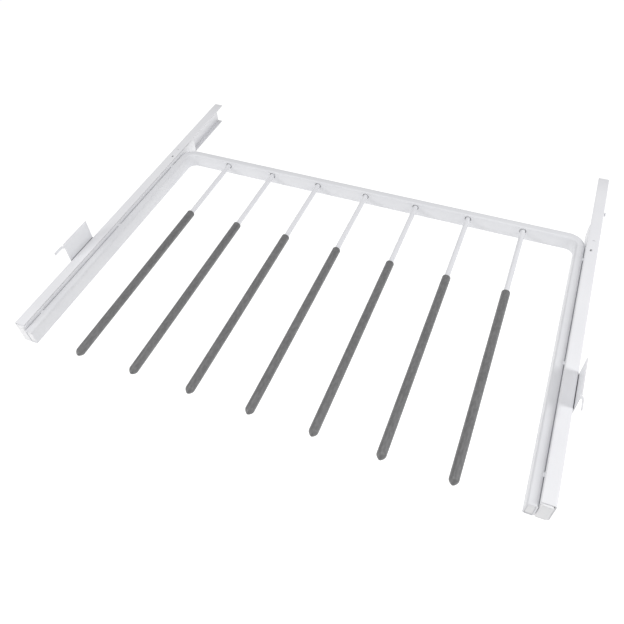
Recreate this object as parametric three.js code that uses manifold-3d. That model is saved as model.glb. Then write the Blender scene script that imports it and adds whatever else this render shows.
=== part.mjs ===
// Pull out trouser rack: a U-shaped tube frame with seven sleeved rods, carried by two runners that
// roll forward out of two fixed channels, which hang by their side brackets. Millimetres, +Z up,
// the front of the rack faces -Y. The origin is midway between the two hanger tongues.

import * as THREE from 'three';
import { mergeVertices } from 'three/addons/utils/BufferGeometryUtils.js';
import Module from 'manifold-3d';

const wasm = await Module();
wasm.setup();

// Rods and sleeves
const rodCount = 7;
const rodPitch = 65;
const rodDiameter = 6;
const rodDrop = 5.9;
const rodHoleGap = 0.8;
const sleeveStart = 99;
const sleeveLength = 239.4;
const sleeveDiameter = 9.4;
const sleeveShoulder = 1.1;
const sleeveTipWall = 3.6;
const sleeveTipNose = 1.2;
const sleeveNoseFlat = 1.0;
const sleeveFit = 0.15;

// Frame tube
const barWidth = 9.8;
const barHeight = 19;
const barWall = 1.5;
const barEdgeRadius = 2.4;
const barCornerRadius = 19.5;
const armReach = 334.3;
const armSideSpace = 59.7;
const plugRecess = 0.4;
const plugLength = 10;
const plugFit = 0.1;

// Fixed channels
const channelLength = 448.5;
const channelHeight = 28;
const channelDepth = 12.7;
const channelSheet = 1.2;
const channelBend = 1.7;
const channelLowerLip = 7.7;
const channelRise = 4.6;
const channelGap = 0.7;
const detentHoleWidth = 2.5;
const detentHoleLength = 3.8;
const detentSetback = 18.2;
const detentInset = 7.7;
const stopSlotWidth = 3.4;
const stopSlotLength = 0.8;
const stopSlotSetback = 1;

// Runners
const runnerStandoff = 0.35;
const runnerSheet = 1.2;
const runnerBend = 1.3;
const runnerTopDrop = 0.3;
const runnerWebHeight = 20;
const runnerWidth = 10.75;
const runnerLip = 4;
const runnerTail = 29.5;
const runnerTailRadius = 5;
const weldLength = 5.2;
const weldWidth = 4;
const weldHeight = 2.4;
const weldSetIn = 0.4;
const weldDrop = 1;
const weldFit = 0.1;
const leftWeldShares = [0.0957, 0.4696, 0.9144];
const rightWeldShares = [0.0897, 0.5385, 0.9079];

// Rollers and axles
const rollerWidth = 5.6;
const rollerSetIn = 3.5;
const rollerRunGap = 0.1;
const rollerTopPlay = 0.3;
const rollerRimRound = 0.6;
const frontRollerRadius = 9.5;
const frontRollerSetback = 18.5;
const rearRollerSetback = 13;
const journalRadius = 2.5;
const journalPlay = 0.08;
const axleShankRadius = 2;
const axleFlangeRadius = 4;
const axleFlange = 0.8;
const axleSidePlay = 0.3;
const holeFit = 0.15;

// Front caps of the runners
const capSetBack = 1.05;
const capFace = 1.5;
const capSetIn = 0.1;
const capTopDrop = 1.5;
const capBottomRise = 1.6;
const capSideGap = 0.4;
const capBevel = 1.9;
const capBevelDepth = 1;
const capCorner = 2;
const capBlock = 4.5;
const capFit = 0.2;
const capGap = 0.45;

// Hanger brackets
const bracketStandoff = 0.4;
const bracketSheet = 1;
const bracketWidth = 42.2;
const bracketFrontSetback = 101.6;
const bracketTop = 24.4;
const bracketFoot = 24;
const tongueLength = 14;
const tongueHeight = 3.4;
const tongueTopDrop = 1.7;
const tongueJoggle = 2;
const tongueBendRun = 2.5;
const bracketRivetInset = 10;
const bracketRivetRise = 4.5;
const bracketRivetRadius = 1.5;
const bracketRivetHeadRadius = 2.5;
const bracketRivetHeadHeight = 0.5;
const bracketRivetCollarRadius = 3;

// Rear studs
const studRearSetback = 59.1;
const studDrop = 7.6;
const studHeadRadius = 2.6;
const studHeadHeight = 1.2;
const studReach = 3;
const studShankRadius = 1.5;
const studTailRadius = 2.4;
const studTailHeight = 0.7;

// How finely round shapes are cut, and how far a cutter runs past what it cuts
const roundSides = 32;
const sleeveSides = 24;
const smallSides = 16;
const bendSteps = 3;
const domeSteps = 6;
const cornerSteps = 10;
const overrun = 1;

// Places worked out from the sizes above
const outerRodX = (rodCount - 1) / 2 * rodPitch;
const armInnerX = outerRodX + armSideSpace;
const armOuterX = armInnerX + barWidth;
const channelInnerX = armOuterX + channelGap;
const channelOuterX = channelInnerX + channelDepth;
const channelWebX = channelOuterX - channelSheet;
const channelTopZ = channelRise;
const channelBottomZ = channelRise - channelHeight;
const rackFrontY = -armReach;
const capFrontY = rackFrontY + capSetBack;
const runnerFrontY = capFrontY + capFace;
const channelFrontY = runnerFrontY + capGap;
const channelRearY = channelFrontY + channelLength;
const trackTopZ = channelTopZ - channelSheet;
const trackBottomZ = channelBottomZ + channelSheet;
const runnerInnerX = armOuterX + runnerStandoff;
const runnerWebX = runnerInnerX + runnerSheet;
const runnerOuterX = runnerInnerX + runnerWidth;
const runnerTopZ = trackTopZ - runnerTopDrop;
const runnerBottomZ = runnerTopZ - runnerWebHeight;
const rollerInnerX = armOuterX + rollerSetIn + axleSidePlay;
const rearRollerRadius = (trackTopZ - trackBottomZ - rollerRunGap - rollerTopPlay) / 2;
const rearRollerZ = trackBottomZ + rollerRunGap + rearRollerRadius;
const rearRollerY = rearRollerSetback;
const frontRollerZ = runnerTopZ - runnerSheet - rollerRunGap - frontRollerRadius;
const frontRollerY = rackFrontY + frontRollerSetback;
const studY = channelRearY - studRearSetback;
const leftWeldPlaces = leftWeldShares.map((share) => share * armReach);
const rightWeldPlaces = rightWeldShares.map((share) => share * armReach);
const bracketFrontY = rackFrontY + bracketFrontSetback;
const bracketTopZ = channelTopZ + bracketTop;
const tongueTopZ = bracketTopZ - tongueTopDrop;
const tongueBottomZ = tongueTopZ - tongueHeight;
const bracketBottomZ = channelTopZ - bracketFoot;
const bracketInnerX = channelOuterX + bracketStandoff;
const bracketRivetZ = bracketBottomZ + bracketRivetRise;

// Finishes
function finish(color, roughness, metalness) {
  return () => new THREE.MeshStandardMaterial({ color, roughness, metalness });
}
const whitePaint = finish(0xe9eaee, 0.42, 0.1);
const greySleeve = finish(0x67686b, 0.72, 0);
const whitePlastic = finish(0xe6e7e8, 0.5, 0);
const nylon = finish(0xf0efe9, 0.38, 0);
const zinc = finish(0xc3c6ca, 0.35, 0.9);

// A closed mesh with shared vertices and without the flat triangles that a pole or a seam leaves
function closed(geometry) {
  const plain = geometry.clone();
  plain.deleteAttribute('normal');
  plain.deleteAttribute('uv');
  const merged = mergeVertices(plain);
  const index = merged.index.array;
  const kept = [];
  for (let i = 0; i < index.length; i += 3) {
    const [a, b, c] = [index[i], index[i + 1], index[i + 2]];
    if (a !== b && b !== c && c !== a) kept.push(a, b, c);
  }
  merged.setIndex(kept);
  return merged;
}

function toSolid(geometry) {
  const merged = closed(geometry);
  const vertProperties = new Float32Array(merged.attributes.position.array);
  const triVerts = new Uint32Array(merged.index.array);
  return new wasm.Manifold(new wasm.Mesh({ numProp: 3, vertProperties, triVerts }));
}

function toGeometry(solid) {
  const mesh = solid.getMesh();
  const geometry = new THREE.BufferGeometry();
  geometry.setAttribute('position', new THREE.BufferAttribute(new Float32Array(mesh.vertProperties), 3));
  geometry.setIndex(Array.from(mesh.triVerts));
  return geometry;
}

// The base geometry with every cutter taken away
function cut(base, cutters) {
  let solid = toSolid(base);
  for (const cutter of cutters) solid = solid.subtract(toSolid(cutter));
  return toGeometry(solid);
}

function join(pieces) {
  let solid = toSolid(pieces[0]);
  for (const piece of pieces.slice(1)) solid = solid.add(toSolid(piece));
  return toGeometry(solid);
}

// The same piece for the other side: x changes sign, and each triangle turns round with it
function mirrored(geometry) {
  const flipped = closed(geometry);
  flipped.scale(-1, 1, 1);
  const index = flipped.index.array;
  for (let i = 0; i < index.length; i += 3) [index[i], index[i + 1]] = [index[i + 1], index[i]];
  return flipped;
}

// A box between two corners
function block(x0, x1, y0, y1, z0, z1) {
  const box = new THREE.BoxGeometry(x1 - x0, y1 - y0, z1 - z0);
  return box.translate((x0 + x1) / 2, (y0 + y1) / 2, (z0 + z1) / 2);
}

// A turned piece about an axis along +X through (y, z). Each step is [x, radius]
function turnedX(steps, y, z, sides) {
  const first = steps[0][0];
  const last = steps[steps.length - 1][0];
  const profile = [new THREE.Vector2(0, first)];
  for (const [x, radius] of steps) profile.push(new THREE.Vector2(radius, x));
  profile.push(new THREE.Vector2(0, last));
  return new THREE.LatheGeometry(profile, sides).rotateZ(-Math.PI / 2).translate(0, y, z);
}

// A turned piece about an axis along -Y through (x, z). Each step is [distance forward, radius]
function turnedForward(steps, x, z, sides) {
  const profile = [new THREE.Vector2(0, steps[0][0])];
  for (const [forward, radius] of steps) profile.push(new THREE.Vector2(radius, forward));
  profile.push(new THREE.Vector2(0, steps[steps.length - 1][0]));
  return new THREE.LatheGeometry(profile, sides).rotateX(Math.PI).translate(x, 0, z);
}

// A closed outline in x and z, carried along y from yFront to yRear
function profileAlongY(outline, yFront, yRear) {
  const shape = new THREE.Shape(outline.map(([x, z]) => new THREE.Vector2(x, z)));
  const options = { depth: yRear - yFront, bevelEnabled: false };
  return new THREE.ExtrudeGeometry(shape, options).rotateX(Math.PI / 2).translate(0, yRear, 0);
}

// Points of a round corner about a centre, from one angle to another in degrees
function arc(cx, cz, radius, from, to, steps) {
  const points = [];
  for (let i = 0; i <= steps; i += 1) {
    const angle = THREE.MathUtils.degToRad(from + (to - from) * i / steps);
    points.push([cx + radius * Math.cos(angle), cz + radius * Math.sin(angle)]);
  }
  return points;
}

// A rectangle with round corners in x and z
function roundedRectangle(x0, x1, z0, z1, radius) {
  return [
    ...arc(x1 - radius, z0 + radius, radius, -90, 0, bendSteps),
    ...arc(x1 - radius, z1 - radius, radius, 0, 90, bendSteps),
    ...arc(x0 + radius, z1 - radius, radius, 90, 180, bendSteps),
    ...arc(x0 + radius, z0 + radius, radius, 180, 270, bendSteps),
  ];
}

// The plan of the frame, inset from its outer faces, running past the arms' front ends
function framePlan(inset, frontY) {
  const outerX = armOuterX - inset;
  const innerX = armInnerX + inset;
  const rearY = barWidth - inset;
  const insideY = inset;
  const outerRadius = barCornerRadius - inset;
  const innerRadius = barCornerRadius - barWidth + inset;
  const right = [
    [innerX, frontY],
    [outerX, frontY],
    ...arc(outerX - outerRadius, rearY - outerRadius, outerRadius, 0, 90, cornerSteps),
  ];
  const left = [
    ...arc(outerRadius - outerX, rearY - outerRadius, outerRadius, 90, 180, cornerSteps),
    [-outerX, frontY],
    [-innerX, frontY],
    ...arc(innerRadius - innerX, insideY - innerRadius, innerRadius, 180, 90, cornerSteps),
  ];
  const back = arc(innerX - innerRadius, insideY - innerRadius, innerRadius, 90, 0, cornerSteps);
  return [...right, ...left, ...back];
}

// The frame's plan made solid between two heights, with its long edges rounded
function frameSolid(inset, frontY, edgeRadius) {
  const shape = new THREE.Shape(framePlan(inset, frontY).map(([x, y]) => new THREE.Vector2(x, y)));
  const height = barHeight - 2 * inset;
  const options = {
    depth: height - 2 * edgeRadius,
    bevelEnabled: true,
    bevelThickness: edgeRadius,
    bevelSize: edgeRadius,
    bevelOffset: -edgeRadius,
    bevelSegments: bendSteps,
  };
  return new THREE.ExtrudeGeometry(shape, options).translate(0, 0, -barHeight + inset + edgeRadius);
}

// Frame bar: one tube bent into a U, open at the front ends, bored for the rods
function frameBar() {
  const pastY = rackFrontY - barEdgeRadius - overrun;
  const outside = frameSolid(0, pastY, barEdgeRadius);
  const hollow = frameSolid(barWall, pastY - overrun, barEdgeRadius - barWall);
  const cutters = [hollow, block(-armOuterX - overrun, armOuterX + overrun, pastY - 2 * overrun, rackFrontY,
    -barHeight - overrun, overrun)];
  const boreRadius = rodDiameter / 2 + rodHoleGap;
  for (let i = 0; i < rodCount; i += 1) {
    cutters.push(turnedForward([[-barWidth / 2, boreRadius], [overrun, boreRadius]], rodX(i), -rodDrop, sleeveSides));
  }
  return cut(outside, cutters);
}

function rodX(i) {
  return (i - (rodCount - 1) / 2) * rodPitch;
}

// Rod: round steel bar from the crossbar's rear wall to the sleeve's tip
function rod(i) {
  const radius = rodDiameter / 2;
  const tip = sleeveStart + sleeveLength - sleeveTipWall - sleeveFit;
  return turnedForward([[barWall - barWidth, radius], [tip, radius]], rodX(i), -rodDrop, sleeveSides);
}

// Sleeve: soft tube closed by a blunt, slightly pointed dome, with a rounded rear shoulder
function sleeve(i) {
  const radius = sleeveDiameter / 2;
  const bore = rodDiameter / 2 + sleeveFit;
  const start = sleeveStart;
  const end = sleeveStart + sleeveLength;
  const profile = [new THREE.Vector2(0, end - sleeveTipWall), new THREE.Vector2(bore, end - sleeveTipWall)];
  profile.push(new THREE.Vector2(bore, start));
  const shoulder = arc(radius - sleeveShoulder, start + sleeveShoulder, sleeveShoulder, -90, 0, bendSteps);
  for (const [r, y] of shoulder) profile.push(new THREE.Vector2(r, y));
  const domeRun = radius + sleeveTipNose;
  for (let k = 0; k < domeSteps; k += 1) {
    const angle = k / domeSteps * Math.PI / 2;
    const r = sleeveNoseFlat + (radius - sleeveNoseFlat) * Math.cos(angle);
    profile.push(new THREE.Vector2(r, end - domeRun + domeRun * Math.sin(angle)));
  }
  profile.push(new THREE.Vector2(0, end));
  return new THREE.LatheGeometry(profile, sleeveSides).rotateX(Math.PI).translate(rodX(i), 0, -rodDrop);
}

// Arm plug: a block pushed into the tube's open end, its face a little behind the tube's rim
function armPlug() {
  const inset = barWall + plugFit;
  const outline = roundedRectangle(armInnerX + inset, armOuterX - inset, inset - barHeight, -inset,
    barEdgeRadius - barWall);
  return profileAlongY(outline, rackFrontY + plugRecess, rackFrontY + plugRecess + plugLength);
}

// The section of a fixed channel: a wide top flange, the web outside, a narrow lower lip
function channelSection() {
  const inside = channelBend - channelSheet;
  const lowerX = channelOuterX - channelLowerLip;
  const bendX = channelOuterX - channelBend;
  const topBendZ = channelTopZ - channelBend;
  const lowBendZ = channelBottomZ + channelBend;
  return [
    [lowerX, channelBottomZ],
    ...arc(bendX, lowBendZ, channelBend, -90, 0, bendSteps),
    ...arc(bendX, topBendZ, channelBend, 0, 90, bendSteps),
    [channelInnerX, channelTopZ],
    [channelInnerX, trackTopZ],
    ...arc(bendX, topBendZ, inside, 90, 0, bendSteps),
    ...arc(bendX, lowBendZ, inside, 0, -90, bendSteps),
    [lowerX, trackBottomZ],
  ];
}

// Fixed channel: folded sheet, pierced for the axle, the bracket rivets, the stud and the closing detent
function channel() {
  const body = profileAlongY(channelSection(), channelFrontY, channelRearY);
  const webFrom = channelWebX - overrun;
  const webTo = channelOuterX + overrun;
  const pierce = (y, z, radius) => turnedX([[webFrom, radius], [webTo, radius]], y, z, smallSides);
  const cutters = [
    pierce(frontRollerY, frontRollerZ, axleShankRadius + holeFit),
    pierce(studY, channelTopZ - studDrop, studShankRadius + holeFit),
  ];
  for (const y of bracketRivetYs()) cutters.push(pierce(y, bracketRivetZ, bracketRivetRadius + holeFit));
  const detent = new THREE.CylinderGeometry(1, 1, channelSheet + 2 * overrun, smallSides);
  detent.rotateX(Math.PI / 2).scale(detentHoleWidth / 2, detentHoleLength / 2, 1);
  detent.translate(channelOuterX - detentInset, -detentSetback, channelTopZ - channelSheet / 2);
  cutters.push(detent);
  const flangeMidX = channelOuterX - channelDepth / 2;
  cutters.push(block(flangeMidX - stopSlotWidth / 2, flangeMidX + stopSlotWidth / 2,
    -stopSlotSetback - stopSlotLength, -stopSlotSetback, trackTopZ - overrun, channelTopZ + overrun));
  return cut(body, cutters);
}

// The section of a runner: web beside the arm, top flange over the rollers, a lip down its outer edge
function runnerSection() {
  const outer = runnerBend;
  const inside = runnerBend - runnerSheet;
  const lipX = runnerOuterX - runnerSheet;
  const underZ = runnerTopZ - runnerSheet;
  return [
    [runnerInnerX, runnerBottomZ],
    [runnerWebX, runnerBottomZ],
    ...arc(runnerWebX + inside, underZ - inside, inside, 180, 90, bendSteps),
    ...arc(lipX - inside, underZ - inside, inside, 90, 0, bendSteps),
    [lipX, underZ - runnerLip],
    [runnerOuterX, underZ - runnerLip],
    ...arc(runnerOuterX - outer, runnerTopZ - outer, outer, 0, 90, bendSteps),
    ...arc(runnerInnerX + outer, runnerTopZ - outer, outer, 90, 180, bendSteps),
  ];
}

// Runner: folded sheet, its flange cut away at the rear for the roller, its tail's corners rounded
function runner() {
  const body = profileAlongY(runnerSection(), runnerFrontY, runnerTail);
  const clearFrom = rearRollerY - rearRollerRadius - overrun;
  const cutters = [
    block(runnerWebX, runnerOuterX + overrun, clearFrom, runnerTail + overrun,
      runnerBottomZ - overrun, runnerTopZ + overrun),
    turnedX([[runnerInnerX - overrun, axleShankRadius + holeFit], [runnerWebX + overrun,
      axleShankRadius + holeFit]], rearRollerY, rearRollerZ, smallSides),
  ];
  cutters.push(tailCorner(runnerBottomZ, 1), tailCorner(runnerTopZ, -1));
  return cut(body, cutters);
}

// What is left of a square corner of the runner's tail outside its round
function tailCorner(z, up) {
  const r = runnerTailRadius;
  const shape = new THREE.Shape();
  shape.moveTo(overrun, -up * overrun);
  shape.lineTo(-r, -up * overrun);
  shape.lineTo(-r, 0);
  for (let i = 1; i <= bendSteps; i += 1) {
    const angle = i / bendSteps * Math.PI / 2;
    shape.lineTo(-r + r * Math.sin(angle), up * (r - r * Math.cos(angle)));
  }
  shape.lineTo(overrun, up * r);
  const prism = new THREE.ExtrudeGeometry(shape, { depth: runnerSheet + 2 * overrun, bevelEnabled: false });
  prism.rotateX(Math.PI / 2).rotateZ(Math.PI / 2);
  return prism.translate(runnerInnerX - overrun, runnerTail, z);
}

// Weld: a short bead in the groove between the arm's rounded top edge and the runner's web
function weld(place) {
  const bead = new THREE.SphereGeometry(1, smallSides, smallSides / 2);
  bead.scale(weldWidth / 2, weldLength / 2, weldHeight / 2);
  bead.translate(armOuterX - weldSetIn, -place, -weldDrop);
  const tube = frameSolid(-weldFit, rackFrontY, barEdgeRadius + weldFit);
  const web = block(runnerInnerX - weldFit, armOuterX + weldWidth, -place - weldLength, weldLength - place,
    -barHeight, barHeight);
  return cut(bead, [tube, web]);
}

// Front cap: a face before the channel's mouth, bevelled along its outer edge, on a block that fits inside
// the runner's front end
function frontCap() {
  const lowZ = channelBottomZ + capBottomRise;
  const faceOutline = roundedRectangle(channelInnerX + capSetIn, channelWebX - capSideGap, lowZ,
    channelTopZ - capTopDrop, capCorner);
  const flat = profileAlongY(faceOutline, capFrontY, runnerFrontY);
  const bevelX = channelWebX - capSideGap;
  const bevel = new THREE.Shape([
    new THREE.Vector2(bevelX - capBevel, capFrontY - overrun),
    new THREE.Vector2(bevelX - capBevel, capFrontY),
    new THREE.Vector2(bevelX, capFrontY + capBevelDepth),
    new THREE.Vector2(bevelX + overrun, capFrontY + capBevelDepth),
    new THREE.Vector2(bevelX + overrun, capFrontY - overrun),
  ]);
  const chip = new THREE.ExtrudeGeometry(bevel, { depth: channelHeight, bevelEnabled: false });
  const face = cut(flat, [chip.translate(0, 0, channelBottomZ)]);
  const lipX = runnerOuterX - runnerSheet;
  const inside = block(runnerWebX + capFit, lipX - capFit, runnerFrontY - capFace / 2,
    runnerFrontY + capBlock, runnerBottomZ, runnerTopZ - runnerSheet - capFit);
  return join([face, inside]);
}

// Roller: a plain wheel with eased rims and a bore that runs on the axle's journal
function roller(radius, y, z) {
  const x0 = rollerInnerX;
  const x1 = rollerInnerX + rollerWidth;
  const bore = journalRadius + journalPlay;
  const profile = [
    [bore, x0],
    [radius - rollerRimRound, x0],
    [radius, x0 + rollerRimRound],
    [radius, x1 - rollerRimRound],
    [radius - rollerRimRound, x1],
    [bore, x1],
    [bore, x0],
  ];
  const points = profile.map(([r, x]) => new THREE.Vector2(r, x));
  return new THREE.LatheGeometry(points, roundSides).rotateZ(-Math.PI / 2).translate(0, y, z);
}

// Front axle: shank flush in the channel's web, boss on it, journal, and a head at the roller's inner side
function frontAxle() {
  const shoulderX = rollerInnerX + rollerWidth + axleSidePlay;
  const headX = rollerInnerX - axleSidePlay;
  const steps = [
    [headX - axleFlange, axleFlangeRadius],
    [headX, axleFlangeRadius],
    [headX, journalRadius],
    [shoulderX, journalRadius],
    [shoulderX, axleFlangeRadius],
    [channelWebX, axleFlangeRadius],
    [channelWebX, axleShankRadius],
    [channelOuterX, axleShankRadius],
  ];
  return turnedX(steps, frontRollerY, frontRollerZ, smallSides);
}

// Rear axle: shank flush in the runner's web, boss on it, journal, and a head at the roller's outer side
function rearAxle() {
  const flangeX = rollerInnerX + rollerWidth + axleSidePlay;
  const bossX = rollerInnerX - axleSidePlay;
  const steps = [
    [runnerInnerX, axleShankRadius],
    [runnerWebX, axleShankRadius],
    [runnerWebX, axleFlangeRadius],
    [bossX, axleFlangeRadius],
    [bossX, journalRadius],
    [flangeX, journalRadius],
    [flangeX, axleFlangeRadius],
    [flangeX + axleFlange, axleFlangeRadius],
  ];
  return turnedX(steps, rearRollerY, rearRollerZ, smallSides);
}

// Rivets of the bracket, evenly set in from its front and rear edges
function bracketRivetYs() {
  return [bracketFrontY + bracketRivetInset, bracketFrontY + bracketWidth - bracketRivetInset];
}

// Hanger bracket: a plate beside the channel's web, with a joggled tongue forward from its top front corner
function bracket() {
  const x0 = bracketInnerX;
  const x1 = bracketInnerX + bracketSheet;
  const plate = block(x0, x1, bracketFrontY, bracketFrontY + bracketWidth, bracketBottomZ, bracketTopZ);
  const tipY = bracketFrontY - tongueLength;
  const bendY = bracketFrontY - tongueBendRun;
  const shape = new THREE.Shape([
    new THREE.Vector2(x0, bracketFrontY + overrun),
    new THREE.Vector2(x0, bracketFrontY),
    new THREE.Vector2(x0 + tongueJoggle, bendY),
    new THREE.Vector2(x0 + tongueJoggle, tipY),
    new THREE.Vector2(x1 + tongueJoggle, tipY),
    new THREE.Vector2(x1 + tongueJoggle, bendY),
    new THREE.Vector2(x1, bracketFrontY),
    new THREE.Vector2(x1, bracketFrontY + overrun),
  ]);
  const tongue = new THREE.ExtrudeGeometry(shape, { depth: tongueHeight, bevelEnabled: false });
  tongue.translate(0, 0, tongueBottomZ);
  const whole = join([plate, tongue]);
  const bore = bracketRivetRadius + holeFit;
  const cutters = bracketRivetYs().map((y) => turnedX([[x0 - overrun, bore], [x1 + overrun, bore]],
    y, bracketRivetZ, smallSides));
  return cut(whole, cutters);
}

// Bracket rivet: head inside the channel, a collar between web and bracket, its end flush with the bracket
function bracketRivet(y) {
  const steps = [
    [channelWebX - bracketRivetHeadHeight, bracketRivetHeadRadius],
    [channelWebX, bracketRivetHeadRadius],
    [channelWebX, bracketRivetRadius],
    [channelOuterX, bracketRivetRadius],
    [channelOuterX, bracketRivetCollarRadius],
    [bracketInnerX, bracketRivetCollarRadius],
    [bracketInnerX, bracketRivetRadius],
    [bracketInnerX + bracketSheet, bracketRivetRadius],
  ];
  return turnedX(steps, y, bracketRivetZ, smallSides);
}

// Rear stud: a headed pin riveted through the channel's web, standing out of its outer face
function rearStud() {
  const headX = channelOuterX + studReach - studHeadHeight;
  const steps = [
    [channelWebX - studTailHeight, studTailRadius],
    [channelWebX, studTailRadius],
    [channelWebX, studShankRadius],
    [headX, studShankRadius],
    [headX, studHeadRadius],
    [channelOuterX + studReach, studHeadRadius],
  ];
  return turnedX(steps, studY, channelTopZ - studDrop, smallSides);
}

const rack = new THREE.Group();

function add(name, geometry, material) {
  const smooth = geometry.index ? geometry.toNonIndexed() : geometry;
  smooth.computeVertexNormals();
  const mesh = new THREE.Mesh(smooth, material());
  mesh.name = name;
  rack.add(mesh);
}

add('frame_bar', frameBar(), whitePaint);
for (let i = 0; i < rodCount; i += 1) {
  add(`rod_${i + 1}`, closed(rod(i)), whitePaint);
  add(`sleeve_${i + 1}`, closed(sleeve(i)), greySleeve);
}

for (const side of ['left', 'right']) {
  const place = side === 'left' ? mirrored : closed;
  const weldPlaces = side === 'left' ? leftWeldPlaces : rightWeldPlaces;
  add(`${side}_arm_plug`, place(armPlug()), whitePlastic);
  add(`${side}_runner`, place(runner()), whitePaint);
  weldPlaces.forEach((at, k) => add(`${side}_weld_${k + 1}`, place(weld(at)), whitePaint));
  add(`${side}_front_cap`, place(frontCap()), whitePlastic);
  add(`${side}_rear_roller`, place(roller(rearRollerRadius, rearRollerY, rearRollerZ)), nylon);
  add(`${side}_rear_axle`, place(rearAxle()), zinc);
  add(`${side}_channel`, place(channel()), whitePaint);
  add(`${side}_front_roller`, place(roller(frontRollerRadius, frontRollerY, frontRollerZ)), nylon);
  add(`${side}_front_axle`, place(frontAxle()), zinc);
  add(`${side}_bracket`, place(bracket()), whitePaint);
  bracketRivetYs().forEach((y, k) => add(`${side}_bracket_rivet_${k + 1}`, place(bracketRivet(y)), zinc));
  add(`${side}_rear_stud`, place(rearStud()), whitePaint);
}

// The origin lies midway between the tongues, at the middle of their lower edges
rack.position.set(0, -(bracketFrontY - tongueBendRun - (tongueLength - tongueBendRun) / 2), -tongueBottomZ);

const group = new THREE.Group();
group.add(rack);

export default group;
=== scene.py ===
from math import pi, radians

import bpy
import numpy as np
from mathutils import Matrix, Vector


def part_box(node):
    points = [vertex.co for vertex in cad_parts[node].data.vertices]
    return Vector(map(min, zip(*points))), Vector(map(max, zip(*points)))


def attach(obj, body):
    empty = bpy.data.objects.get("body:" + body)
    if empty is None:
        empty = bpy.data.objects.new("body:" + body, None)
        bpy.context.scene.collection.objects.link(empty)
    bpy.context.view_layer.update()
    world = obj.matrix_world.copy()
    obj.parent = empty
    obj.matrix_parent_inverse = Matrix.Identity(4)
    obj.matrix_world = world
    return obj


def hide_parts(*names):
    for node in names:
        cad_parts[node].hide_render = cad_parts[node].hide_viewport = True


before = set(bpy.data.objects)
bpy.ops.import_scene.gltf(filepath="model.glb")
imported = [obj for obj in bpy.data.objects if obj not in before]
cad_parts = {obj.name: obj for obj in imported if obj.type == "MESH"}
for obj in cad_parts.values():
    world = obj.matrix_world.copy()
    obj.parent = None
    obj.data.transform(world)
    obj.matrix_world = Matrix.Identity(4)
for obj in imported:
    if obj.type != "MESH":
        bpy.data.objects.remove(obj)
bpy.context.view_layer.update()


# THE PHOTOGRAPHED VIEW
# The rack hangs over a plain pale floor under soft studio light: a wide lamp above and a little to the left,
# a smaller one on the right and a small one at the left front. The camera looks down on it from the right.

mm = 0.001
tube_width, tube_height = 9.8, 19.0
tube_low, tube_high = (np.array(corner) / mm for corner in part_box("frame_bar"))
# sizes are in millimetres, and places start from the middle of the crossbar's front face, at the tube's top
datum = np.array([0.0, tube_high[1] - tube_width, tube_high[2]])


def metres(points):
    """Points of the rack in the frame's own metres: (point + datum) * mm."""
    return (np.asarray(points, float) + datum) * mm


def aim(azimuth, elevation, roll):
    """Right, down and forward directions of an eye turned by azimuth, dipped by elevation, then rolled."""
    a, e, r = np.radians([azimuth, elevation, roll])
    forward = np.array([-np.sin(a) * np.cos(e), np.cos(a) * np.cos(e), -np.sin(e)])
    level = np.array([np.cos(a), np.sin(a), 0.0])
    down = np.cross(forward, level)
    return np.cos(r) * level + np.sin(r) * down, np.cos(r) * down - np.sin(r) * level, forward


def standing(place, across, up, back):
    """The matrix of an object at place whose x, y and z run across, up and back."""
    return Matrix.Translation(place) @ Matrix(np.array([across, up, back]).T.tolist()).to_4x4()


photo_pixels, focal_pixels, film_width = 624, 607.7, 36
half_pixel = 0.5 / photo_pixels
eye_place = (188.7, -580.6, 488.3)
rightward, downward, forward = aim(azimuth=25.23, elevation=49.69, roll=3.81)
eye = bpy.data.cameras.new("eye")
eye.sensor_width = film_width
eye.lens = focal_pixels / photo_pixels * film_width
eye.shift_x, eye.shift_y = -half_pixel, half_pixel
eye.clip_start, eye.clip_end = 0.01, 20
camera = bpy.data.objects.new("eye", eye)
camera.matrix_world = standing(metres(eye_place), rightward, -downward, -forward)
bpy.context.collection.objects.link(camera)
bpy.context.scene.camera = camera
bpy.context.scene.view_settings.view_transform = "Standard"

room = bpy.data.worlds.new("room")
room.use_nodes = True
surround = room.node_tree.nodes["Background"].inputs
surround["Color"].default_value = (1.0, 0.998, 1.0, 1)
surround["Strength"].default_value = 0.44
bpy.context.scene.world = room


def softbox(name, place, target, width, height, power):
    """A white rectangular lamp at place that faces target, both in metres."""
    lamp = bpy.data.lights.new(name, "AREA")
    lamp.shape, lamp.size, lamp.size_y, lamp.energy = "RECTANGLE", width, height, power
    stand = bpy.data.objects.new(name, lamp)
    back = np.array(place, float) - np.array(target, float)
    back /= np.linalg.norm(back)
    side = np.cross([0, 0, 1], back)
    side /= np.linalg.norm(side)
    stand.matrix_world = standing(place, side, np.cross(back, side), back)
    bpy.context.collection.objects.link(stand)


softbox("overhead_softbox", place=(-0.3, -0.05, 1.6), target=(0.0, 0.1, 0.0),
        width=1.3, height=1.3, power=11.8)
softbox("right_softbox", place=(0.85, 0.03, 0.54), target=(0.1, 0.03, 0.0),
        width=0.26, height=0.45, power=3.3)
softbox("left_front_softbox", place=(-0.62, -0.75, 0.33), target=(-0.27, -0.09, 0.0),
        width=0.3, height=0.3, power=2.3)

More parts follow.
